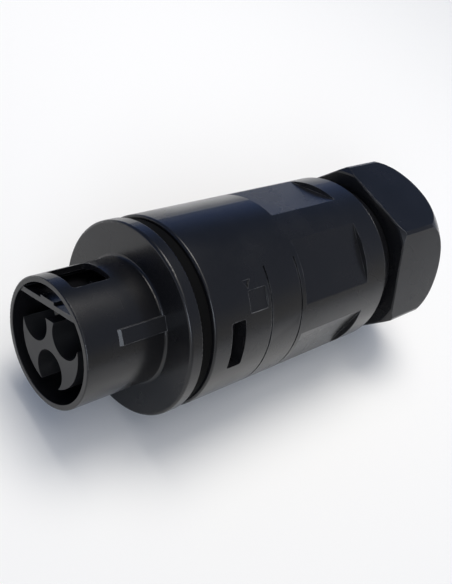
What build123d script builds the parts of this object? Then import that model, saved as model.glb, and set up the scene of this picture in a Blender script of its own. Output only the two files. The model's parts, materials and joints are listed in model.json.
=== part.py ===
from build123d import *
import os
from math import cos, radians, sin, tan

# Male half of a three-pole inline connector for a mains cable, in millimetres.
# Each piece is drawn along the X axis with the key of the nose at the top (+Z),
# from the mating nose (-X) to the gland nut (+X). The flange's front face is x = 0.
# At the end everything is rolled about X, so that the part lies on a flat of its nut.

# Whole connector
body_radius = 16.0
nut_flat_count = 6

# Nose barrel
nose_length = 14.3
nose_radius = 10.3
nose_wall = 0.9
nose_rim_round = 0.2
nose_root_round = 0.5
key_bar_height = 6.1
key_bar_thickness = 0.8
key_bar_setback = 0.2
key_rib_width = 3.4
key_rib_height = 0.4
latch_window_setback = 2.2
latch_window_length = 6.7
latch_window_width = 7.0
latch_window_round = 0.5
side_rib_length = 8.5
side_rib_width = 2.4
side_rib_height = 0.35
side_rib_angle = 71.0

# Flange and skirt of the plug body
flange_thickness = 2.4
flange_edge_round = 0.45
floor_thickness = 2.2
hub_hole_radius = 8.0
skirt_wall = 2.1
skirt_length = 19.7
snap_hook_height = 1.3
snap_hook_crest = 0.8

# Contacts and their insulator
contact_angles = {"line": 60.0, "neutral": -60.0, "earth": 180.0}
contact_offset = 4.5
contact_space_radius = 3.2
insulator_radius = 7.2
insulator_flat_height = 3.7
insulator_recess = 0.55
insulator_base_thickness = 3.0
pin_radius = 1.5
pin_tip_round = 0.6
pin_recess = 4.6
earth_pin_lead = 1.0
pin_collar_radius = 2.3
pin_collar_thickness = 1.0
pin_tail_radius = 1.2
pin_tail_length = 3.3

# Screw terminals
terminal_length = 10.8
terminal_width = 5.4
terminal_height = 6.6
terminal_edge_round = 0.3
terminal_offset = 2.5
wire_bore_radius = 1.9
wire_bore_length = 7.0
wire_bore_offset = 5.2
clamp_leaf_length = 6.2
clamp_leaf_width = 2.8
clamp_leaf_thickness = 0.4
screw_radius = 1.5
screw_length = 4.6
screw_setback = 4.0
screw_tip_height = 0.75
screw_slot_width = 0.5
screw_slot_depth = 0.7
screw_access_radius = 2.0

# Terminal carrier and wire guide
carrier_rear_wall = 2.2
wire_funnel_radius = 2.1
wire_guide_thickness = 3.4

# Seals
flange_seal_length = 2.4
flange_seal_set_in = 0.5
flange_seal_round = 0.5
o_ring_section = 1.2
o_ring_setback = 3.2
o_ring_side_play = 0.2
nut_gap = 1.1
nut_ring_section = 1.0

# Outer sleeve
sleeve_length = 47.2
sleeve_wall = 2.6
sleeve_edge_round = 0.4
sleeve_turn = 3.0
shoulder_length = 4.0
shoulder_step = 0.3
shoulder_edge_round = 0.1
wire_guide_step = 1.0
side_slot_angles = (90.0, -90.0)
side_slot_setback = 3.6
side_slot_length = 3.0
side_slot_width = 8.0
side_slot_round = 0.4
groove_width = 0.35
groove_depth = 0.25
part_groove_setbacks = (12.6, 19.8)
part_groove_start = 49.5
end_groove_depth = 0.65
mark_depth = 0.25
arrow_setback = 8.0
arrow_angle = 56.0
arrow_radius = 0.9
pad_setback = 9.8
pad_angle = 67.0
pad_length = 4.0
pad_width = 3.6
pad_round = 0.3
wrench_flat_count = 6
wrench_flat_depth = 0.97
wrench_flat_setback = 20.9
wrench_flat_length = 16.8
spigot_radius = 12.5
spigot_length = 11.5
spigot_wall = 2.1
nut_seat_width = 1.5

# Cable gland
cage_wall = 1.6
cage_depth = 18.5
cage_seat_width = 1.0
cage_seat_thickness = 2.6
cage_lip_height = 0.8
cage_lip_thickness = 1.4
cage_finger_count = 10
cage_finger_length = 9.0
cage_finger_gap = 0.8
cage_tip_length = 3.0
grip_angle = 30.0
seal_bore_radius = 6.2
seal_setback = 1.0
slip_ring_thickness = 0.4
nut_length = 17.4
nut_across_flats = 31.0
nut_corner_radius = 17.7
nut_front_radius = 16.7
nut_front_taper = 0.6
nut_front_chamfer = 0.2
nut_dome_length = 7.9
nut_dome_angle = 9.5
nut_end_radius = 12.0
cable_hole_radius = 7.6

# Clearances
slide_fit = 0.1
press_fit = 0.03
grip_clearance = 0.35
slip_ring_play = 0.1

# Stations along the axis
rim = -nose_length
sleeve_front = flange_thickness + flange_seal_length
sleeve_rear = sleeve_front + sleeve_length
shoulder_front = sleeve_rear - shoulder_length
spigot_end = sleeve_rear + spigot_length
skirt_end = flange_thickness + skirt_length
side_slot_front = sleeve_front + side_slot_setback
insulator_front = rim + insulator_recess
insulator_rear = floor_thickness + insulator_base_thickness
terminal_front = insulator_rear + slide_fit
terminal_rear = terminal_front + terminal_length
screw_station = terminal_rear - screw_setback
carrier_rear = terminal_rear + slide_fit + carrier_rear_wall
wire_guide_front = skirt_end + slide_fit
wire_guide_rear = wire_guide_front + wire_guide_thickness
cage_seat = spigot_end - cage_depth
cage_tip = spigot_end + cage_tip_length
seal_front = cage_seat + cage_lip_thickness
seal_rear = cage_tip - seal_setback
nut_front = sleeve_rear + nut_gap
nut_rear = nut_front + nut_length
nut_shoulder = spigot_end + slip_ring_thickness + slip_ring_play

# Radii and heights that follow from a neighbour
nose_bore_radius = nose_radius - nose_wall
sleeve_bore_radius = body_radius - sleeve_wall
skirt_radius = sleeve_bore_radius - slide_fit
skirt_bore_radius = skirt_radius - skirt_wall
carrier_radius = skirt_bore_radius - slide_fit
wire_chamber_radius = sleeve_bore_radius - wire_guide_step
wrench_flat_height = body_radius - wrench_flat_depth
end_groove_radius = body_radius - end_groove_depth
sleeve_end_radius = spigot_radius + nut_seat_width
o_ring_radius = sleeve_bore_radius - o_ring_section / 2 - press_fit
spigot_bore_radius = spigot_radius - spigot_wall
cage_radius = spigot_bore_radius - slide_fit
cage_bore_radius = cage_radius - cage_wall
seal_radius = cage_bore_radius - slide_fit
terminal_top = terminal_offset + terminal_height
screw_tip = wire_bore_offset + screw_tip_height
screw_top = screw_tip + screw_length
grip_slope = tan(radians(grip_angle))
outside = 2 * body_radius
roll_at_rest = -180 / nut_flat_count


def turned(*corners):
    """Solid turned about X from corners given as (station, radius, rounding)."""
    points = [(station, 0, radius) for station, radius, rounding in corners]
    rounding = [corner[2] for corner in corners]
    return revolve(make_face(FilletPolyline(*points, radius=rounding, close=True)), Axis.X)


def tube(front, rear, inner, outer, rounding=0.0):
    """Plain ring, with its outer edges rounded."""
    return turned((front, inner, 0), (front, outer, rounding), (rear, outer, rounding), (rear, inner, 0))


def rod(front, rear, radius, height=0.0):
    """Round rod along X, at a height above the axis."""
    return Pos(front, 0, height) * Rot(Y=90) * extrude(Circle(radius), rear - front)


def block(front, rear, width, bottom, top):
    """Block that is centred on the upright plane through the axis."""
    return Pos(front, -width / 2, bottom) * Box(rear - front, width, top - bottom, align=Align.MIN)


def spoke(station, radius, bottom, top):
    """Round upright rod that points away from the axis."""
    return Pos(station, 0, bottom) * extrude(Circle(radius), top - bottom)


def prism(front, rear, section):
    """Section drawn in the (Y, Z) plane, run along X."""
    return Pos(front, 0, 0) * extrude(Plane.YZ * section, rear - front)


def tapered(station, radius):
    """Radius at a station behind the spigot, on the slope of the cable grip."""
    return radius - grip_slope * (station - spigot_end)


def plug_body():
    """Nose barrel with its key bar and latch window, flange, and skirt with snap hooks."""
    shell = turned(
        (rim, nose_bore_radius, nose_rim_round / 2),
        (rim, nose_radius, nose_rim_round),
        (0, nose_radius, nose_root_round),
        (0, body_radius, flange_edge_round),
        (flange_thickness, body_radius, flange_edge_round / 2),
        (flange_thickness, skirt_radius, 0),
        (skirt_end, skirt_radius, 0),
        (skirt_end, skirt_bore_radius, 0),
        (floor_thickness, skirt_bore_radius, 0),
        (floor_thickness, hub_hole_radius, 0),
        (0, hub_hole_radius, 0),
        (0, nose_bore_radius, 0),
    )
    bar_top = key_bar_height + key_bar_thickness
    bar_front = rim + key_bar_setback
    bar = block(bar_front, 0, 2 * nose_radius, key_bar_height, bar_top)
    bar += block(bar_front, 0, key_rib_width, bar_top, bar_top + key_rib_height)
    shell += bar & rod(rim, 0, nose_radius - nose_wall / 2)
    for side in (1, -1):
        shell += Rot(X=side * side_rib_angle) * side_rib()
    window = RectangleRounded(latch_window_length, latch_window_width, latch_window_round)
    window_middle = rim + latch_window_setback + latch_window_length / 2
    shell -= Pos(window_middle, 0, bar_top) * extrude(window, outside)
    for angle in side_slot_angles:
        shell += Rot(X=angle + sleeve_turn) * snap_hook()
    for angle in contact_angles.values():
        shell -= Rot(X=angle) * spoke(screw_station, screw_access_radius, 0, outside)
    return shell - o_ring_groove()


def side_rib():
    """Rib along the nose that rises from the barrel on a ramp."""
    root = nose_radius - nose_wall / 2
    top = nose_radius + side_rib_height
    front = -side_rib_length - nose_wall / 2
    rear = flange_thickness / 2
    profile = Polyline((front, 0, root), (front + top - root, 0, top), (rear, 0, top), (rear, 0, root),
                       close=True)
    return extrude(make_face(profile), side_rib_width / 2, both=True)


def snap_hook():
    """Hook on the skirt: steep in front, where it holds, and sloping behind."""
    front = side_slot_front + slide_fit
    rear = side_slot_front + side_slot_length - slide_fit
    root = skirt_radius - skirt_wall / 2
    crest = skirt_radius + snap_hook_height
    profile = Polyline((front, 0, root), (front, 0, crest), (front + snap_hook_crest, 0, crest),
                       (rear, 0, skirt_radius), (rear, 0, root), close=True)
    return extrude(make_face(profile), side_slot_width / 2 - side_slot_round, both=True)


def o_ring_groove():
    """Groove round the rear of the skirt for the body O-ring."""
    half_width = o_ring_section / 2 + o_ring_side_play
    middle = skirt_end - o_ring_setback
    floor_radius = o_ring_radius - o_ring_section / 2 - press_fit
    return tube(middle - half_width, middle + half_width, floor_radius, outside)


def contact_centre(angle):
    """Centre of a contact in the (Y, Z) plane."""
    return (-contact_offset * sin(radians(angle)), contact_offset * cos(radians(angle)))


def pin_insulator():
    """Star in the nose with a round space for each contact, on a boss and a base."""
    star = Circle(insulator_radius)
    width = 2 * insulator_radius
    star -= Pos(0, insulator_flat_height + width / 2) * Rectangle(width, width)
    for angle in contact_angles.values():
        star -= Pos(*contact_centre(angle)) * Circle(contact_space_radius)
    solid = prism(insulator_front, 0, star)
    solid += rod(0, floor_thickness, hub_hole_radius - slide_fit)
    solid += rod(floor_thickness, insulator_rear, carrier_radius)
    seat = insulator_rear - pin_collar_thickness
    for angle in contact_angles.values():
        hole = rod(0, insulator_rear, pin_radius + press_fit, contact_offset)
        hole += rod(seat, insulator_rear, pin_collar_radius + press_fit, contact_offset)
        solid -= Rot(X=angle) * hole
    return solid


def pin(recess):
    """Contact pin: round tip, collar in the base, tail in the terminal."""
    tip = rim + recess
    collar_front = insulator_rear - pin_collar_thickness
    tail_end = terminal_front + pin_tail_length
    shape = turned(
        (tip, 0, 0),
        (tip, pin_radius, pin_tip_round),
        (collar_front, pin_radius, 0),
        (collar_front, pin_collar_radius, 0),
        (insulator_rear, pin_collar_radius, 0),
        (insulator_rear, pin_tail_radius, 0),
        (tail_end, pin_tail_radius, 0),
        (tail_end, 0, 0),
    )
    return Pos(0, 0, contact_offset) * shape


def terminal():
    """Brass clamp block, bored for the pin's tail, the wire and the screw."""
    body = block(terminal_front, terminal_rear, terminal_width, terminal_offset, terminal_top)
    body = fillet(body.edges().filter_by(Axis.X), terminal_edge_round)
    pin_hole_end = terminal_front + pin_tail_length
    body -= rod(terminal_front, pin_hole_end, pin_tail_radius + press_fit, contact_offset)
    body -= rod(terminal_rear - wire_bore_length, terminal_rear, wire_bore_radius, wire_bore_offset)
    return body - spoke(screw_station, screw_radius + press_fit, wire_bore_offset, terminal_top)


def clamp_leaf():
    """Plate between the screw and the strands of the wire."""
    middle = terminal_rear - wire_bore_length / 2
    front = middle - clamp_leaf_length / 2
    bottom = screw_tip - clamp_leaf_thickness
    return block(front, front + clamp_leaf_length, clamp_leaf_width, bottom, screw_tip)


def screw():
    """Slotted clamp screw."""
    slot = block(screw_station - screw_radius, screw_station + screw_radius, screw_slot_width,
                 screw_top - screw_slot_depth, screw_top)
    return spoke(screw_station, screw_radius, screw_tip, screw_top) - slot


def terminal_carrier():
    """Insulating block with a chamber for each terminal, open to the front."""
    solid = rod(insulator_rear, carrier_rear, carrier_radius)
    for angle in contact_angles.values():
        chamber = block(insulator_rear, terminal_rear + slide_fit, terminal_width + 2 * slide_fit,
                        terminal_offset - slide_fit, terminal_top + slide_fit)
        chamber += rod(terminal_rear, carrier_rear, wire_funnel_radius, wire_bore_offset)
        chamber += spoke(screw_station, screw_access_radius, wire_bore_offset, outside)
        solid -= Rot(X=angle) * chamber
    return solid


def wire_guide():
    """Disc that leads the three wires to their funnels, held by a step in the sleeve."""
    solid = rod(carrier_rear, wire_guide_front, carrier_radius)
    solid += rod(wire_guide_front, wire_guide_rear, skirt_radius)
    for angle in contact_angles.values():
        solid -= Rot(X=angle) * rod(carrier_rear, wire_guide_rear, wire_funnel_radius, wire_bore_offset)
    return solid


def flange_seal():
    """Rubber ring between the flange and the sleeve."""
    outer = body_radius - flange_seal_set_in
    return tube(flange_thickness, sleeve_front, skirt_radius + press_fit, outer, flange_seal_round)


def o_ring(station, radius, section):
    """Round rubber ring about the axis."""
    return revolve(Plane.XZ * Pos(station, radius) * Circle(section / 2), Axis.X)


def outer_sleeve():
    """Housing: slots for the snap hooks, wrench flats, and the spigot of the gland."""
    end_groove_rear = shoulder_front + groove_width
    solid = turned(
        (sleeve_front, 0, 0),
        (sleeve_front, body_radius, sleeve_edge_round),
        (shoulder_front, body_radius, shoulder_edge_round),
        (shoulder_front, end_groove_radius, 0),
        (end_groove_rear, end_groove_radius, 0),
        (end_groove_rear, body_radius - shoulder_step, shoulder_edge_round),
        (sleeve_rear, sleeve_end_radius, 2 * shoulder_edge_round),
        (sleeve_rear, spigot_radius, 0),
        (spigot_end, spigot_radius, 0),
        (spigot_end, 0, 0),
    )
    solid -= rod(sleeve_front, wire_guide_rear, sleeve_bore_radius)
    solid -= rod(wire_guide_rear, cage_seat - cage_seat_thickness, wire_chamber_radius)
    solid -= rod(cage_seat - cage_seat_thickness, cage_seat, cage_radius - cage_seat_width)
    solid -= rod(cage_seat, spigot_end, spigot_bore_radius)
    slot = RectangleRounded(side_slot_length, side_slot_width, side_slot_round)
    slot_middle = side_slot_front + side_slot_length / 2
    for angle in side_slot_angles:
        solid -= Rot(X=angle) * Pos(slot_middle, 0, skirt_bore_radius) * extrude(slot, outside)
    flat_front = sleeve_front + wrench_flat_setback
    flat_rear = flat_front + wrench_flat_length
    for number in range(wrench_flat_count):
        flat = block(flat_front, flat_rear, outside, wrench_flat_height, outside)
        solid -= Rot(X=number * 360 / wrench_flat_count) * flat
    for setback in part_groove_setbacks:
        solid -= part_groove(sleeve_front + setback)
    return Rot(X=sleeve_turn) * (solid - sleeve_marks())


def part_groove(station):
    """Fine groove in the sleeve that leaves out the top."""
    section = Pos(station, body_radius) * Rectangle(groove_width, 2 * groove_depth)
    sweep = revolve(Plane.XZ * section, Axis.X, 360 - 2 * part_groove_start)
    return Rot(X=part_groove_start) * sweep


def sleeve_marks():
    """Plain arrow and plain square, sunk beside a side slot."""
    arrow = Rot(Z=-90) * RegularPolygon(arrow_radius, 3)
    pad = RectangleRounded(pad_length, pad_width, pad_round)
    floor_radius = body_radius - mark_depth
    marks = Rot(X=arrow_angle) * Pos(sleeve_front + arrow_setback, 0, floor_radius) * extrude(arrow, outside)
    marks += Rot(X=pad_angle) * Pos(sleeve_front + pad_setback, 0, floor_radius) * extrude(pad, outside)
    return marks


def clamp_cage():
    """Cage with slotted fingers that the nut bends onto the cable seal."""
    lip_radius = cage_bore_radius - cage_lip_height
    solid = turned(
        (cage_seat, lip_radius, 0),
        (cage_seat, cage_radius, 0),
        (spigot_end, cage_radius, 0),
        (cage_tip, tapered(cage_tip, cage_radius), 0),
        (cage_tip, tapered(cage_tip, cage_bore_radius), 0),
        (spigot_end, cage_bore_radius, 0),
        (seal_front, cage_bore_radius, 0),
        (seal_front, lip_radius, 0),
    )
    for number in range(cage_finger_count):
        gap = block(cage_tip - cage_finger_length, cage_tip, cage_finger_gap, 0, spigot_radius)
        solid -= Rot(X=number * 360 / cage_finger_count) * gap
    return solid


def cable_seal():
    """Rubber grommet round the cable, tapered where the fingers close on it."""
    return turned(
        (seal_front, seal_bore_radius, 0),
        (seal_front, seal_radius, 0),
        (spigot_end, seal_radius, 0),
        (seal_rear, tapered(seal_rear, seal_radius), 0),
        (seal_rear, seal_bore_radius, 0),
    )


def slip_ring():
    """Washer that lets the nut turn without twisting the cage."""
    return tube(spigot_end, spigot_end + slip_ring_thickness, spigot_bore_radius, spigot_radius)


def gland_nut():
    """Hexagonal nut with a domed rear and a cone inside that closes the fingers."""
    dome_front = nut_rear - nut_dome_length
    start = (dome_front, 0, nut_corner_radius)
    end = (nut_rear, 0, nut_end_radius)
    outline = Polyline(start, (nut_front + nut_front_taper, 0, nut_corner_radius),
                       (nut_front, 0, nut_front_radius), (nut_front, 0, 0), (nut_rear, 0, 0), end)
    dome_start = (cos(radians(nut_dome_angle)), 0, -sin(radians(nut_dome_angle)))
    outline += TangentArc(start, end, tangent=dome_start)
    half_sector = 180 / nut_flat_count
    hexagon = RegularPolygon(nut_across_flats / 2, nut_flat_count, major_radius=False, rotation=half_sector)
    solid = revolve(make_face(outline), Axis.X) & prism(nut_front, nut_rear, hexagon)
    front_edges = solid.faces().sort_by(Axis.X)[0].outer_wire().edges()
    solid = chamfer(front_edges, nut_front_chamfer)
    thread_radius = spigot_radius + slide_fit
    cone_radius = cage_radius + grip_clearance
    cone_end = spigot_end + (cone_radius - cable_hole_radius) / grip_slope
    return solid - turned(
        (nut_front, 0, 0),
        (nut_front, thread_radius, 0),
        (nut_shoulder, thread_radius, 0),
        (nut_shoulder, tapered(nut_shoulder, cone_radius), 0),
        (cone_end, cable_hole_radius, 0),
        (nut_rear, cable_hole_radius, 0),
        (nut_rear, 0, 0),
    )


nut_ring_radius = spigot_radius + nut_ring_section / 2 + press_fit
pieces = {
    "plug_body": plug_body(),
    "pin_insulator": pin_insulator(),
    "terminal_carrier": terminal_carrier(),
    "wire_guide": wire_guide(),
    "flange_seal": flange_seal(),
    "body_o_ring": o_ring(skirt_end - o_ring_setback, o_ring_radius, o_ring_section),
    "outer_sleeve": outer_sleeve(),
    "clamp_cage": clamp_cage(),
    "cable_seal": cable_seal(),
    "slip_ring": slip_ring(),
    "nut_o_ring": o_ring(sleeve_rear + nut_gap / 2, nut_ring_radius, nut_ring_section),
    "gland_nut": gland_nut(),
}
for name, angle in contact_angles.items():
    recess = pin_recess - earth_pin_lead if name == "earth" else pin_recess
    pieces["pin_" + name] = Rot(X=angle) * pin(recess)
    pieces["terminal_" + name] = Rot(X=angle) * terminal()
    pieces["clamp_leaf_" + name] = Rot(X=angle) * clamp_leaf()
    pieces["screw_" + name] = Rot(X=angle) * screw()

os.makedirs("parts", exist_ok=True)
for name, piece in pieces.items():
    export_step(Rot(X=roll_at_rest) * piece, f"parts/{name}.step")
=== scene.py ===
import json
import math

import bpy
from mathutils import Matrix, Vector


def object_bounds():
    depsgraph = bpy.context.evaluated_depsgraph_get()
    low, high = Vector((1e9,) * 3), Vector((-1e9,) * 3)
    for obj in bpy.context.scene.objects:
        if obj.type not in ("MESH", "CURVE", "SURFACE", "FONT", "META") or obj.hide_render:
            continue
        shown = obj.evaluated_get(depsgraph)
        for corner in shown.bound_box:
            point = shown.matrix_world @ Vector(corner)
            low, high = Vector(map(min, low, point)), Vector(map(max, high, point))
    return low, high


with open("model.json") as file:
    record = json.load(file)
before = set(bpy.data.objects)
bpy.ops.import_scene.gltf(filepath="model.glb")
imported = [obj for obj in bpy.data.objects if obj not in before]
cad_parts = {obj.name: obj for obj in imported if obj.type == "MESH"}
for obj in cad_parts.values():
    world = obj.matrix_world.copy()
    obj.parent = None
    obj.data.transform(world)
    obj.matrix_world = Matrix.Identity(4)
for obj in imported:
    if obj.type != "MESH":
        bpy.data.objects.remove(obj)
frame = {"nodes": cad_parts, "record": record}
cad_low, cad_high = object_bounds()
MM = 0.001

# Camera, as it stood in the photograph, with its lens and sensor in millimetres
CAMERA_PLACE = Vector((-72.83, -50.77, 95.36)) * MM
CAMERA_RIGHT = Vector((0.71461, -0.56231, 0.41609))
CAMERA_UP = Vector((0.22909, 0.75015, 0.62032))
CAMERA_LENS = 50.25
SENSOR_LONG_SIDE = 36.0
CAMERA_NEAREST = 5 * MM
CAMERA_FARTHEST = 20.0

# Floor
FLOOR_HALF_SIZE = 4.0
FLOOR_COLOUR = (0.955, 0.945, 0.915)
FLOOR_ROUGHNESS = 0.9

# Lamps, with the widths of cone and spread in degrees
CEILING_LAMP = {
    "place": Vector((140, 250, 780)) * MM,
    "aim": Vector((70, 30, 0)) * MM,
    "power": 19.2,
    "radius": 0.27,
    "cone": 54.0,
    "fade": 1.0,
    "colour": (1.0, 0.965, 0.92),
}
WINDOW_LAMP = {
    "towards": (-0.73, -0.56, 0.39),
    "strength": 0.9,
    "spread": 28.0,
    "colour": (0.8, 0.88, 1.0),
}

# Room: each wall's colour near the floor and higher up, and the ceiling's colour
NEAR_WALL = {"low": (0.42, 0.41, 0.39), "high": (0.22, 0.25, 0.33)}
FAR_WALL = {"low": (0.12, 0.2, 0.45), "high": (0.045, 0.08, 0.16)}
CEILING_COLOUR = (1.5, 1.48, 1.45)

# Where these pass into each other: the first two along the Z of the direction, the last along its Y
LOW_TO_HIGH = (0.2, 0.48)
WALL_TO_CEILING = (0.85, 0.93)
NEAR_TO_FAR = (-0.4, 0.4)

# Edges: how far the finish rounds them, and how wide they wear and carry a painted highlight as a rule
EDGE_SOFTNESS = 0.05 * MM
EDGE_SAMPLES = 6
WEAR_AND_HIGHLIGHT_WIDTH = 0.12 * MM

# Cosines of the turn at which an edge is fully worn and painted with a highlight, and at which it is not at
# all
WEAR_AND_HIGHLIGHT_COSINES = (0.82, 0.99)

# Patchy noise: the size of its patches, its detail, and the span of values in which it takes effect
# The first sets the patches where edges show wear and a painted highlight
WEAR_AND_HIGHLIGHT_PATCHES = {"size": 4 * MM, "detail": 3.0, "span": (0.4, 0.65)}
SKIN_PATCHES = {"size": 9 * MM, "detail": 4.0, "span": (0.3, 0.7)}
GRAIN_DETAIL = 2.0

# How much glossier and duller than its roughness a surface is in places
GLOSSIER = 0.05
DULLER = 0.06

USUAL_IOR = 1.5
METAL = 1.0

# Finish of each material slot; the lighter colour on edges is partly wear and partly a painted highlight
FINISHES = {
    "housing_black": {
        "name": "moulded black",
        "colour": (0.007, 0.007, 0.008),
        # On this black, the much lighter edge colour is mostly a painted highlight along the edges, with
        # some wear
        "wear_and_highlight_colour": (0.22, 0.22, 0.225),
        "roughness": 0.25,
        "grain": {"size": 0.5 * MM, "height": 0.0015 * MM},
        "wear_and_highlight_width": 0.13 * MM,
        "ior": 1.46,
    },
    "insulator_grey": {
        "name": "moulded dark grey",
        "colour": (0.012, 0.012, 0.013),
        "wear_and_highlight_colour": (0.05, 0.05, 0.05),
        "roughness": 0.42,
        "grain": {"size": 0.3 * MM, "height": 0.003 * MM},
        "ior": 1.42,
    },
    "cage_grey": {
        "name": "moulded grey",
        "colour": (0.08, 0.08, 0.085),
        "wear_and_highlight_colour": (0.12, 0.12, 0.12),
        "roughness": 0.42,
        "grain": {"size": 0.3 * MM, "height": 0.003 * MM},
    },
    "rubber_black": {
        # Near-black colour: partly the rubber's own, partly painted shade for the gap the seal sits in
        "name": "black rubber with painted gap shade",
        "colour": (0.003, 0.003, 0.003),
        "wear_and_highlight_colour": (0.008, 0.008, 0.008),
        "roughness": 0.8,
        "grain": {"size": 0.2 * MM, "height": 0.003 * MM},
        "ior": 1.15,
    },
    "contact_metal": {
        "name": "plated contact",
        "colour": (0.62, 0.6, 0.56),
        "wear_and_highlight_colour": (0.7, 0.66, 0.6),
        "roughness": 0.28,
        "grain": {"size": 0.2 * MM, "height": 0.001 * MM},
        "metallic": METAL,
    },
    "terminal_brass": {
        "name": "brass",
        "colour": (0.72, 0.55, 0.27),
        "wear_and_highlight_colour": (0.8, 0.64, 0.35),
        "roughness": 0.3,
        "grain": {"size": 0.2 * MM, "height": 0.001 * MM},
        "metallic": METAL,
    },
    "screw_steel": {
        "name": "zinc steel",
        "colour": (0.55, 0.55, 0.56),
        "wear_and_highlight_colour": (0.62, 0.62, 0.62),
        "roughness": 0.32,
        "grain": {"size": 0.2 * MM, "height": 0.001 * MM},
        "metallic": METAL,
    },
}


def blank_material(name):
    """Material whose node tree holds only a Principled shader and its output. Returns it and the shader."""
    material = bpy.data.materials.new(name)
    material.use_nodes = True
    tree = material.node_tree
    tree.nodes.clear()
    output = tree.nodes.new("ShaderNodeOutputMaterial")
    shader = tree.nodes.new("ShaderNodeBsdfPrincipled")
    tree.links.new(shader.outputs["BSDF"], output.inputs["Surface"])
    return material, shader


def noise(tree, size, detail):
    """Noise whose features are about as large as size, in metres. Returns its value socket."""
    place = tree.nodes.new("ShaderNodeTexCoord")
    texture = tree.nodes.new("ShaderNodeTexNoise")
    texture.inputs["Scale"].default_value = 1 / size
    texture.inputs["Detail"].default_value = detail
    tree.links.new(place.outputs["Object"], texture.inputs["Vector"])
    return texture.outputs["Fac"]


def ranged(tree, value, span, low=0.0, high=1.0):
    """Value that goes from low to high while the one given goes from the span's start to its end."""
    start, end = span
    made = tree.nodes.new("ShaderNodeMapRange")
    made.inputs["From Min"].default_value = start
    made.inputs["From Max"].default_value = end
    made.inputs["To Min"].default_value = low
    made.inputs["To Max"].default_value = high
    tree.links.new(value, made.inputs["Value"])
    return made.outputs["Result"]


def patchy(tree, patches, low=0.0, high=1.0):
    """Value that changes in patches from low to high."""
    return ranged(tree, noise(tree, patches["size"], patches["detail"]), patches["span"], low, high)


def mixed(tree, share, first, second):
    """Colour between two; each is written out, or comes from another node."""
    made = tree.nodes.new("ShaderNodeMix")
    made.data_type = "RGBA"
    for name, colour in (("A", first), ("B", second)):
        if isinstance(colour, tuple):
            made.inputs[name].default_value = (*colour, 1.0)
        else:
            tree.links.new(colour, made.inputs[name])
    tree.links.new(share, made.inputs["Factor"])
    return made.outputs["Result"]


def softened(tree, radius):
    """Normal that turns gradually across an edge."""
    bevel = tree.nodes.new("ShaderNodeBevel")
    bevel.samples = EDGE_SAMPLES
    bevel.inputs["Radius"].default_value = radius
    return bevel.outputs["Normal"]


def edge_share(tree, radius):
    """How sharply the surface turns within a radius, from 0 to 1."""
    geometry = tree.nodes.new("ShaderNodeNewGeometry")
    turn = tree.nodes.new("ShaderNodeVectorMath")
    turn.operation = "DOT_PRODUCT"
    tree.links.new(softened(tree, radius), turn.inputs[0])
    tree.links.new(geometry.outputs["Normal"], turn.inputs[1])
    return ranged(tree, turn.outputs["Value"], WEAR_AND_HIGHLIGHT_COSINES, 1.0, 0.0)


def surface(name, colour, wear_and_highlight_colour, roughness, grain, metallic=0.0, ior=USUAL_IOR, wear_and_highlight_width=WEAR_AND_HIGHLIGHT_WIDTH):
    """Moulded or machined surface: grain, patches of duller skin, and edges lighter in places, partly from
    wear and partly as a painted highlight.
    """
    material, shader = blank_material(name)
    tree = material.node_tree
    shader.inputs["Metallic"].default_value = metallic
    shader.inputs["IOR"].default_value = ior
    # Edges lightened in patches: partly wear, partly a painted highlight
    worn_and_highlit = tree.nodes.new("ShaderNodeMath")
    worn_and_highlit.operation = "MULTIPLY"
    tree.links.new(edge_share(tree, wear_and_highlight_width), worn_and_highlit.inputs[0])
    tree.links.new(patchy(tree, WEAR_AND_HIGHLIGHT_PATCHES), worn_and_highlit.inputs[1])
    base_colour = mixed(tree, worn_and_highlit.outputs["Value"], colour, wear_and_highlight_colour)
    tree.links.new(base_colour, shader.inputs["Base Color"])
    skin = patchy(tree, SKIN_PATCHES, roughness - GLOSSIER, roughness + DULLER)
    tree.links.new(skin, shader.inputs["Roughness"])
    bump = tree.nodes.new("ShaderNodeBump")
    bump.inputs["Strength"].default_value = 1.0
    bump.inputs["Distance"].default_value = grain["height"]
    tree.links.new(noise(tree, grain["size"], GRAIN_DETAIL), bump.inputs["Height"])
    tree.links.new(softened(tree, EDGE_SOFTNESS), bump.inputs["Normal"])
    tree.links.new(bump.outputs["Normal"], shader.inputs["Normal"])
    return material


def dress_nodes():
    """Gives each CAD node the finish of its slot."""
    materials = {slot: surface(**finish) for slot, finish in FINISHES.items()}
    for part in frame["record"]["subparts"]:
        mesh = frame["nodes"][part["node"]].data
        mesh.materials.clear()
        mesh.materials.append(materials[part["material_slot"]])


def add_camera():
    """The photograph's camera, from the two directions of its picture."""
    data = bpy.data.cameras.new("camera")
    data.lens = CAMERA_LENS
    data.sensor_width = SENSOR_LONG_SIDE
    data.clip_start = CAMERA_NEAREST
    data.clip_end = CAMERA_FARTHEST
    camera = bpy.data.objects.new("camera", data)
    right = CAMERA_RIGHT.normalized()
    back = right.cross(CAMERA_UP).normalized()
    up = back.cross(right)
    turned = Matrix((right, up, back)).transposed().to_4x4()
    camera.matrix_world = Matrix.Translation(CAMERA_PLACE) @ turned
    bpy.context.scene.collection.objects.link(camera)
    bpy.context.scene.camera = camera


def add_lamp(name, data, colour, towards):
    """Lamp that shines from a direction."""
    data.color = colour
    lamp = bpy.data.objects.new(name, data)
    lamp.rotation_mode = "QUATERNION"
    lamp.rotation_quaternion = Vector(towards).to_track_quat("Z", "Y")
    bpy.context.scene.collection.objects.link(lamp)
    return lamp


def add_ceiling_lamp(place, aim, power, radius, cone, fade, colour):
    """Soft lamp overhead that lights the floor round the connector."""
    data = bpy.data.lights.new("ceiling lamp", "SPOT")
    data.energy = power
    data.shadow_soft_size = radius
    data.spot_size = math.radians(cone)
    data.spot_blend = fade
    lamp = add_lamp("ceiling lamp", data, colour, place - aim)
    lamp.location = place


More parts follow.
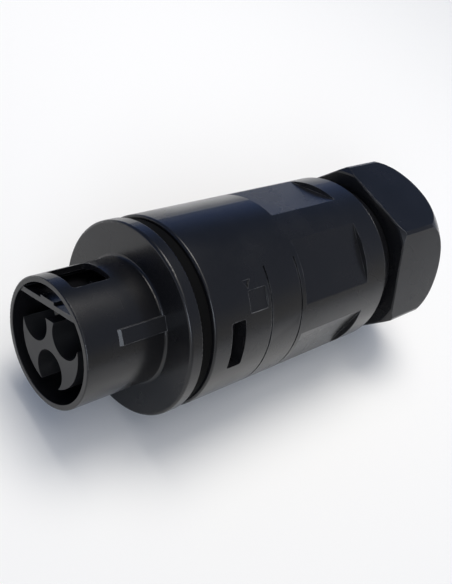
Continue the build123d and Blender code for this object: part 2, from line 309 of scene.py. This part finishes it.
def add_window_lamp(towards, strength, spread, colour):
    """Far soft lamp, as a window in the distance."""
    data = bpy.data.lights.new("window lamp", "SUN")
    data.energy = strength
    data.angle = math.radians(spread)
    add_lamp("window lamp", data, colour, towards)


def add_floor():
    """Plain pale floor that the connector lies on."""
    mesh = bpy.data.meshes.new("floor")
    low = cad_low.z
    half = FLOOR_HALF_SIZE
    corners = [(-half, -half, low), (half, -half, low), (half, half, low), (-half, half, low)]
    mesh.from_pydata(corners, [], [(0, 1, 2, 3)])
    material, shader = blank_material("floor")
    shader.inputs["Base Color"].default_value = (*FLOOR_COLOUR, 1.0)
    shader.inputs["Roughness"].default_value = FLOOR_ROUGHNESS
    shader.inputs["Specular IOR Level"].default_value = 0.0
    mesh.materials.append(material)
    floor = bpy.data.objects.new("floor", mesh)
    bpy.context.scene.collection.objects.link(floor)


def add_surroundings():
    """Room with a bright ceiling, and walls that are palest near the floor, bluish on the far side."""
    world = bpy.data.worlds.new("room")
    world.use_nodes = True
    bpy.context.scene.world = world
    tree = world.node_tree
    tree.nodes.clear()
    place = tree.nodes.new("ShaderNodeTexCoord")
    split = tree.nodes.new("ShaderNodeSeparateXYZ")
    tree.links.new(place.outputs["Generated"], split.inputs["Vector"])
    height = ranged(tree, split.outputs["Z"], LOW_TO_HIGH)
    near = mixed(tree, height, NEAR_WALL["low"], NEAR_WALL["high"])
    far = mixed(tree, height, FAR_WALL["low"], FAR_WALL["high"])
    walls = mixed(tree, ranged(tree, split.outputs["Y"], NEAR_TO_FAR), near, far)
    room = mixed(tree, ranged(tree, split.outputs["Z"], WALL_TO_CEILING), walls, CEILING_COLOUR)
    background = tree.nodes.new("ShaderNodeBackground")
    tree.links.new(room, background.inputs["Color"])
    output = tree.nodes.new("ShaderNodeOutputWorld")
    tree.links.new(background.outputs["Background"], output.inputs["Surface"])


bpy.context.scene.view_settings.view_transform = "Standard"
add_camera()
add_floor()
add_surroundings()
add_ceiling_lamp(**CEILING_LAMP)
add_window_lamp(**WINDOW_LAMP)
dress_nodes()
